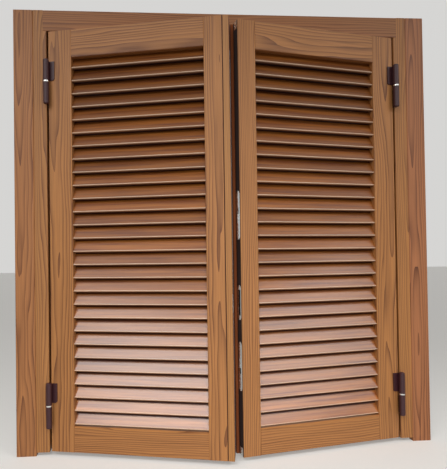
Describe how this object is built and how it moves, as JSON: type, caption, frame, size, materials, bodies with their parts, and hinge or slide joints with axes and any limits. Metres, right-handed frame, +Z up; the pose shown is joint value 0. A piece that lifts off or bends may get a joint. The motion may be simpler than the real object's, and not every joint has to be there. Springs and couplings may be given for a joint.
{
  "type": "louvred shutters",
  "caption": "Timber louvred shutters ajar in their frame: fixed sloping slats in framed leaves, pin hinges, an edge lock with an inside lever handle, and sliding flush bolts",
  "frame": {"origin": "on the plane of the casings' feet, under the middle of the whole's bounding box", "axes": "+X to the right seen from outside, +Y into the wall, +Z up; the leaves open towards -Y"},
  "size_m": [1.3, 0.1962, 1.3605],
  "materials": {
    "frame_timber": "clear-varnished softwood",
    "leaf_timber": "clear-varnished softwood",
    "slat_timber": "clear-varnished softwood",
    "hinge_steel": "dark brown paint",
    "bright_steel": "bright zinc plate",
    "plated_steel": "dull zinc plate",
    "handle_metal": "satin nickel plate",
    "seal_rubber": "dark brown rubber"
  },
  "bodies": {
    "frame": {"left_jamb": "frame_timber", "right_jamb": "frame_timber", "left_casing": "frame_timber", "right_casing": "frame_timber", "head": "frame_timber", "head_keeper": "bright_steel", "left_lower_frame_hinge": "hinge_steel", "left_lower_hinge_washer": "bright_steel", "left_lower_hinge_pin": "bright_steel", "left_upper_frame_hinge": "hinge_steel", "left_upper_hinge_washer": "bright_steel", "left_upper_hinge_pin": "bright_steel", "right_lower_frame_hinge": "hinge_steel", "right_lower_hinge_washer": "bright_steel", "right_lower_hinge_pin": "bright_steel", "right_upper_frame_hinge": "hinge_steel", "right_upper_hinge_washer": "bright_steel", "right_upper_hinge_pin": "bright_steel"},
    "left_leaf": {"left_hinge_stile": "leaf_timber", "left_top_rail": "leaf_timber", "left_bottom_rail": "leaf_timber", "left_slats": "slat_timber", "left_lower_leaf_hinge": "hinge_steel", "left_upper_leaf_hinge": "hinge_steel", "left_meeting_stile": "leaf_timber", "left_closing_strip": "leaf_timber", "lock_face": "bright_steel", "lock_case": "plated_steel", "handle_rose": "handle_metal"},
    "lock_bolt": {"lock_bolt": "bright_steel"},
    "inside_handle": {"lock_follower": "bright_steel", "handle_spindle": "bright_steel", "lever_handle": "handle_metal"},
    "right_leaf": {"right_hinge_stile": "leaf_timber", "right_top_rail": "leaf_timber", "right_bottom_rail": "leaf_timber", "right_slats": "slat_timber", "right_lower_leaf_hinge": "hinge_steel", "right_upper_leaf_hinge": "hinge_steel", "right_meeting_stile": "leaf_timber", "meeting_seal": "seal_rubber", "strike_plate": "bright_steel", "upper_flush_bolt": "bright_steel", "lower_flush_bolt": "bright_steel", "upper_rod_guide": "bright_steel", "lower_rod_guide": "bright_steel"},
    "upper_rod": {"upper_bolt_rod": "bright_steel", "upper_bolt_thumb": "bright_steel"},
    "lower_rod": {"lower_bolt_rod": "bright_steel", "lower_bolt_thumb": "bright_steel"}
  },
  "joints": [
    {"name": "left_leaf_hinge", "type": "hinge", "parent": "frame", "child": "left_leaf", "pos_m": [-0.5495, 0.01403, 0.645], "axis": [0, 0, -1], "range_deg": [-13.2, 166.8]},
    {"name": "right_leaf_hinge", "type": "hinge", "parent": "frame", "child": "right_leaf", "pos_m": [0.5495, 0.01403, 0.645], "axis": [0, 0, 1], "range_deg": [-11.1, 168.9]},
    {"name": "handle_turn", "type": "hinge", "parent": "left_leaf", "child": "inside_handle", "pos_m": [-0.02974, -0.04717, 0.521], "axis": [-0.2284, -0.9736, 0], "range_deg": [0, 90]},
    {"name": "bolt_slide", "type": "slide", "parent": "left_leaf", "child": "lock_bolt", "axis": [0.9736, -0.2284, 0], "range_m": [0, 0.022]},
    {"name": "upper_rod_slide", "type": "slide", "parent": "right_leaf", "child": "upper_rod", "axis": [0, 0, 1], "range_m": [0, 0.018]},
    {"name": "lower_rod_slide", "type": "slide", "parent": "right_leaf", "child": "lower_rod", "axis": [0, 0, -1], "range_m": [0, 0.018]}
  ],
  "couplings": [
    {"joint": "bolt_slide", "follows": "handle_turn", "m_per_rad": 0.014005}
  ]
}
